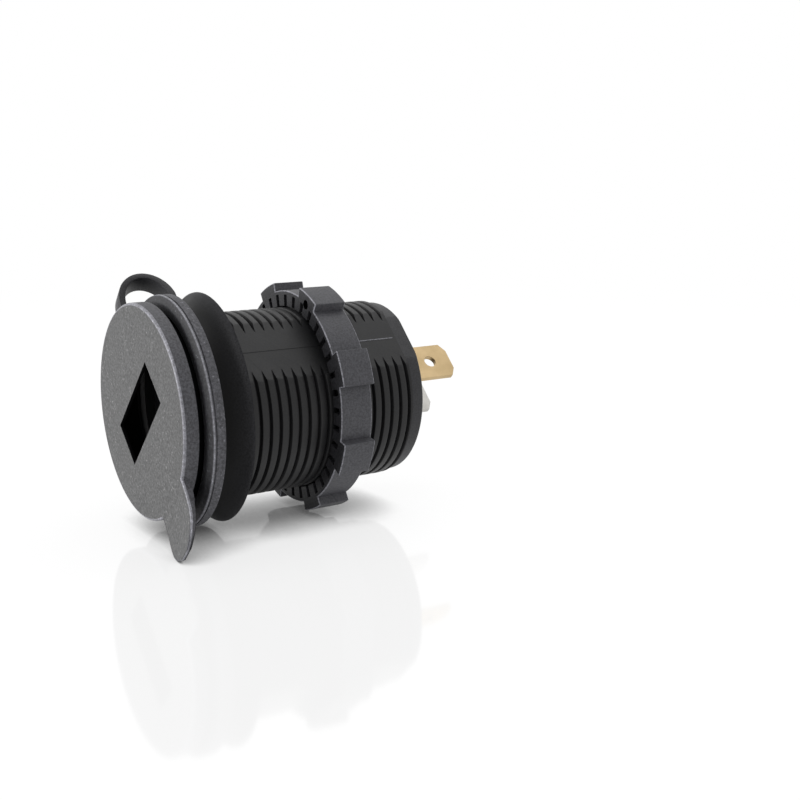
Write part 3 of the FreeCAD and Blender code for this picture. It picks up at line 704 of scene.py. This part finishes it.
def drill(bm, size):
    x, z = holeSpot(size)
    pin = bmesh.new()
    place = Matrix.Translation((x, nutLow[1] - 0.1, z)) @ Matrix.Rotation(math.pi / 2, 4, "X")
    bmesh.ops.create_cone(pin, cap_ends=True, segments=32, radius1=size["holeR"], radius2=size["holeR"],
                          depth=2 * size["holeDepth"], matrix=place)
    objects = []
    for name, source in (("drilledNut", bm), ("pin", pin)):
        mesh = bpy.data.meshes.new(name)
        source.to_mesh(mesh)
        objects.append(bpy.data.objects.new(name, mesh))
        bpy.context.collection.objects.link(objects[-1])
    cut = objects[0].modifiers.new("hole", "BOOLEAN")
    cut.operation = "DIFFERENCE"
    cut.solver = "EXACT"
    cut.object = objects[1]
    view = bpy.context.evaluated_depsgraph_get()
    drilled = bpy.data.meshes.new_from_object(objects[0].evaluated_get(view))
    bm.clear()
    bm.from_mesh(drilled)
    pin.free()
    for item in objects:
        mesh = item.data
        bpy.data.objects.remove(item)
        bpy.data.meshes.remove(mesh)
    bpy.data.meshes.remove(drilled)


def nutFinish(face, size):
    spot = face.calc_center_median()
    radius = math.hypot(spot.x, spot.z)
    front = nutLow[1]
    holeX, holeZ = holeSpot(size)
    # the pin hole's walls are painted near-black: painted shade
    if math.hypot(spot.x - holeX, spot.z - holeZ) < size["holeR"] + 0.02 and spot.y > front + 0.05:
        return "paintedShadeInside"
    # the rounded outer edges of the lobes get the painted edge highlight
    if 0.15 < abs(face.normal.y) < 0.97 and radius > size["valleyR"] - 0.25:
        return "paintedEdgeHighlight"
    # the front face and slots get a darker finish: painted shade behind the bell
    ahead = face.normal.y < -0.9 or radius < size["slotEndR"]
    return "nutFaceShade" if ahead and spot.y < front + size["slotDepth"] + 0.01 else "nut"


def makeNut(size):
    front, back = nutLow[1], nutHigh[1]
    deep = size["slotDepth"]
    bm = latheOf([(size["boreR"], front), (size["slotEndR"], front), (size["valleyR"], front),
                  (size["valleyR"], back), (size["slotEndR"], back), (size["boreR"], back),
                  (size["boreR"], back - deep), (size["boreR"], front + deep)], size["steps"])
    cutSlots(bm, size, front, deep)
    cutSlots(bm, size, back, -deep)
    growLobes(bm, size)
    bmesh.ops.recalc_face_normals(bm, faces=bm.faces)

    def outerEdge(edge):
        return sharpConvex(edge) and min(reach(v) for v in edge.verts) > size["valleyR"] - 0.02

    roundOff(bm, outerEdge, size["edge"], 2)
    drill(bm, size)
    for face in bm.faces:
        face.material_index = nutFinishes.index(nutFinish(face, size))
    materials = [finishes[key] for key in nutFinishes]
    return addPiece("castleNut", bm, materials, "nut", ["ring_nut"])


makeNut(nutSizes)


# blade terminals

bladeSizes = {"tipLength": 0.9, "tipWidth": 1.4, "holeR": 1.0, "holeInset": 3.9, "root": 26.9,
              "tailLow": -2.2, "tailHigh": 0.0, "edge": 0.07}


def makeBlade(name, node, finish, size):
    low, high = millimetres(node)
    half, tip = high[2], high[1]
    shoulder = tip - size["tipLength"]
    outline = [(low[1], size["tailLow"]), (size["root"], size["tailLow"]), (size["root"], -half),
               (shoulder, -half), (tip, size["tipWidth"] - half), (tip, half - size["tipWidth"]),
               (shoulder, half), (size["root"], half), (size["root"], size["tailHigh"]),
               (low[1], size["tailHigh"])]
    bm = bmesh.new()
    verts = [bm.verts.new((low[0], y, z)) for y, z in outline]
    edges = [bm.edges.new(pair) for pair in zip(verts, verts[1:] + verts[:1])]
    place = Matrix.Translation((low[0], tip - size["holeInset"], 0)) @ Matrix.Rotation(math.pi / 2, 4, "Y")
    hole = bmesh.ops.create_circle(bm, segments=40, radius=size["holeR"], matrix=place)["verts"]
    edges += list({e for v in hole for e in v.link_edges})
    bmesh.ops.triangle_fill(bm, use_beauty=True, edges=edges)
    grown = bmesh.ops.extrude_face_region(bm, geom=bm.faces[:])["geom"]
    moved = [g for g in grown if isinstance(g, bmesh.types.BMVert)]
    bmesh.ops.translate(bm, vec=(high[0] - low[0], 0, 0), verts=moved)
    bmesh.ops.recalc_face_normals(bm, faces=bm.faces)
    roundOff(bm, sharpConvex, size["edge"], 2)
    return addPiece(name, bm, [finishes[finish]], "socket", [node], smooth=18)


makeBlade("brassBlade", "positive_blade", "brass", bladeSizes)
makeBlade("tinnedBlade", "negative_blade", "tin", bladeSizes)


# raised smoked lens of the display

lensSizes = {"front": -4.1, "corner": 0.5, "edge": 0.3, "halfX": 7.15, "low": -2.5, "high": 3.3}


def makeLens(size):
    back = millimetres("display_lens")[1][1]
    bm = bmesh.new()
    block(bm, (-size["halfX"], size["front"], size["low"]), (size["halfX"], back, size["high"]))
    roundOff(bm, lambda e: abs(e.verts[0].co.y - e.verts[1].co.y) > 1, size["corner"], 6)
    roundOff(bm, lambda e: max(v.co.y for v in e.verts) < size["front"] + 0.1, size["edge"], 2)
    return addPiece("raisedLens", bm, [finishes["lens"]], "socket", ["display_lens"])


makeLens(lensSizes)


# finishes for the pieces that keep their own shape

nodeFinish = {
    "rear_cover": "barrel", "face_plate": "plate", "display_block": "pale",
    "digit_segments": "bars", "display_board": "board", "main_board": "board", "header_strip": "chip",
    "converter_chip": "chip", "rectifier_diode": "chip", "usb_shell": "steel", "usb_insulator": "pale",
    "choke_core": "ferrite", "choke_winding": "copper", "input_capacitor": "can", "output_capacitor": "can",
}
for number in range(1, 5):
    nodeFinish[f"usb_contact_{number}"] = "gold"
for node, finish in nodeFinish.items():
    frame["nodes"][node].material_slots[0].material = finishes[finish]
print("kept nodes", len(nodeFinish))


# floor that the object lies on, seen from above only

floorSizes = {"normal": (0.705, 0.012, 0.709), "reach": 900, "tone": 0.16, "glow": 0.91, "mirror": 0.14,
              "contact": 0.012, "shadeFrom": 0.1, "shadeTo": 0.62, "polish": (0.05, 0.09), "polishScale": 40,
              "whiteFrom": 0.12, "whiteTo": 0.4}


def floorMaterial(size):
    material, tree, shader, place = startMaterial("paleFloor")
    shader.inputs["Base Color"].default_value = (*grey(size["tone"], 1.0), 1)
    shader.inputs["Specular IOR Level"].default_value = 0
    shader.inputs["Emission Color"].default_value = (1, 1, 1, 1)
    # the floor's glow is dimmed by ambient occlusion near the object: a painted contact shadow
    contactShade = tree.nodes.new("ShaderNodeAmbientOcclusion")
    contactShade.inputs["Distance"].default_value = size["contact"]
    glow = tree.nodes.new("ShaderNodeMapRange")
    glow.inputs["From Min"].default_value = size["shadeFrom"]
    glow.inputs["From Max"].default_value = size["shadeTo"]
    glow.inputs["To Max"].default_value = size["glow"]
    tree.links.new(contactShade.outputs["AO"], glow.inputs["Value"])
    tree.links.new(glow.outputs["Result"], shader.inputs["Emission Strength"])
    mirror = tree.nodes.new("ShaderNodeBsdfGlossy")
    streaks = noise(tree, place, size["polishScale"], 3)
    tree.links.new(spread(tree, streaks, *size["polish"]), mirror.inputs["Roughness"])
    share = tree.nodes.new("ShaderNodeValue")
    share.outputs["Value"].default_value = size["mirror"]
    polished = mixShaders(tree, share.outputs["Value"], shader.outputs["BSDF"], mirror.outputs["BSDF"])
    far = tree.nodes.new("ShaderNodeVectorMath")
    far.operation = "LENGTH"
    tree.links.new(place, far.inputs[0])
    fade = tree.nodes.new("ShaderNodeMapRange")
    fade.interpolation_type = "SMOOTHSTEP"
    fade.inputs["From Min"].default_value = size["whiteFrom"]
    fade.inputs["From Max"].default_value = size["whiteTo"]
    tree.links.new(far.outputs["Value"], fade.inputs["Value"])
    white = tree.nodes.new("ShaderNodeEmission")
    clear = tree.nodes.new("ShaderNodeBsdfTransparent")
    side = tree.nodes.new("ShaderNodeNewGeometry")
    near = mixShaders(tree, fade.outputs["Result"], polished, white.outputs["Emission"])
    shown = mixShaders(tree, side.outputs["Backfacing"], near, clear.outputs["BSDF"])
    tree.links.new(shown, tree.nodes["Material Output"].inputs["Surface"])
    return material


def makeFloor(size):
    up = Vector(size["normal"]).normalized()
    lowest = min(up.dot(obj.matrix_world @ v.co) for obj in bpy.data.objects
                 if obj.type == "MESH" and not obj.hide_render for v in obj.data.vertices)
    bm = bmesh.new()
    turn = up.to_track_quat("Z", "Y").to_matrix().to_4x4()
    bmesh.ops.create_grid(bm, x_segments=1, y_segments=1, size=size["reach"] * mm,
                          matrix=Matrix.Translation(up * lowest) @ turn)
    mesh = bpy.data.meshes.new("floor")
    bm.to_mesh(mesh)
    bm.free()
    mesh.materials.append(floorMaterial(size))
    floor = bpy.data.objects.new("floor", mesh)
    bpy.context.collection.objects.link(floor)


makeFloor(floorSizes)


# soft studio light: left box on the cap, overhead box, pale surroundings

lightSizes = {
    "right": (0.374, 0.843, -0.386), "away": (-0.6026, 0.5373, 0.5898), "up": (0.705, 0.012, 0.709),
    "target": (0, 12, 0),
    "boxes": {"leftBox": (-420, -160, 100, 320, 2.4), "topBox": (60, 120, 520, 420, 0.7)},
    "glossyNear": 0.9, "glossyAway": 1.0, "softNear": 0.78, "softAway": 0.7,
    "turnFrom": -0.85, "turnTo": 0.15,
}


def makeLights(size):
    right, away, up = (Vector(size[key]) for key in ("right", "away", "up"))
    target = Vector(size["target"])
    for name, (a, b, c, width, power) in size["boxes"].items():
        data = bpy.data.lights.new(name, "AREA")
        data.shape = "SQUARE"
        data.size = width * mm
        data.energy = power
        lamp = bpy.data.objects.new(name, data)
        spot = target + right * a + away * b + up * c
        lamp.location = spot * mm
        lamp.rotation_euler = (target - spot).to_track_quat("-Z", "Y").to_euler()
        bpy.context.collection.objects.link(lamp)


def spareFloor(lampName):
    others = bpy.data.collections.new("litObject")
    others.objects.link(bpy.data.objects["floor"])
    others.collection_objects[0].light_linking.link_state = "EXCLUDE"
    bpy.data.objects[lampName].light_linking.receiver_collection = others


def paleSky(tree, facing, size, kind):
    shade = tree.nodes.new("ShaderNodeMapRange")
    shade.interpolation_type = "SMOOTHSTEP"
    shade.inputs["From Min"].default_value = size["turnFrom"]
    shade.inputs["From Max"].default_value = size["turnTo"]
    shade.inputs["To Min"].default_value = size[kind + "Near"]
    shade.inputs["To Max"].default_value = size[kind + "Away"]
    tree.links.new(facing, shade.inputs["Value"])
    sky = tree.nodes.new("ShaderNodeBackground")
    sky.inputs["Color"].default_value = (1, 1, 1, 1)
    tree.links.new(shade.outputs["Result"], sky.inputs["Strength"])
    return sky.outputs["Background"]


def makeWorld(size):
    world = bpy.data.worlds.new("paleStudio")
    bpy.context.scene.world = world
    world.use_nodes = True
    tree = world.node_tree
    shown = tree.nodes["Background"]
    shown.inputs["Color"].default_value = (1, 1, 1, 1)
    facing = tree.nodes.new("ShaderNodeVectorMath")
    facing.operation = "DOT_PRODUCT"
    facing.inputs[1].default_value = size["away"]
    tree.links.new(tree.nodes.new("ShaderNodeTexCoord").outputs["Generated"], facing.inputs[0])
    glossy = paleSky(tree, facing.outputs["Value"], size, "glossy")
    soft = paleSky(tree, facing.outputs["Value"], size, "soft")
    path = tree.nodes.new("ShaderNodeLightPath")
    seen = mixShaders(tree, path.outputs["Is Glossy Ray"], soft, glossy)
    for ray in ("Is Transmission Ray", "Is Camera Ray"):
        seen = mixShaders(tree, path.outputs[ray], seen, shown.outputs["Background"])
    tree.links.new(seen, tree.nodes["World Output"].inputs["Surface"])


makeLights(lightSizes)
spareFloor("leftBox")
makeWorld(lightSizes)
bpy.context.scene.view_settings.view_transform = "Standard"
print("stage, light")


# camera fitted to the photograph

cameraView = {
    "place": (132.777, -63.255, -84.668), "forward": (-0.72562, 0.52529, 0.44446),
    "up": (0.57808, 0.115, 0.80784), "lens": 50.32, "sensor": 36.0, "clipStart": 5,
}


def makeCamera(view):
    data = bpy.data.cameras.new("photoCamera")
    data.lens = view["lens"]
    data.sensor_width = view["sensor"]
    data.clip_start = view["clipStart"] * mm
    ahead = Vector(view["forward"]).normalized()
    right = ahead.cross(Vector(view["up"])).normalized()
    up = right.cross(ahead)
    camera = bpy.data.objects.new("photoCamera", data)
    camera.matrix_world = Matrix((
        (right.x, up.x, -ahead.x, view["place"][0] * mm),
        (right.y, up.y, -ahead.y, view["place"][1] * mm),
        (right.z, up.z, -ahead.z, view["place"][2] * mm),
        (0, 0, 0, 1)))
    bpy.context.collection.objects.link(camera)
    bpy.context.scene.camera = camera


makeCamera(cameraView)
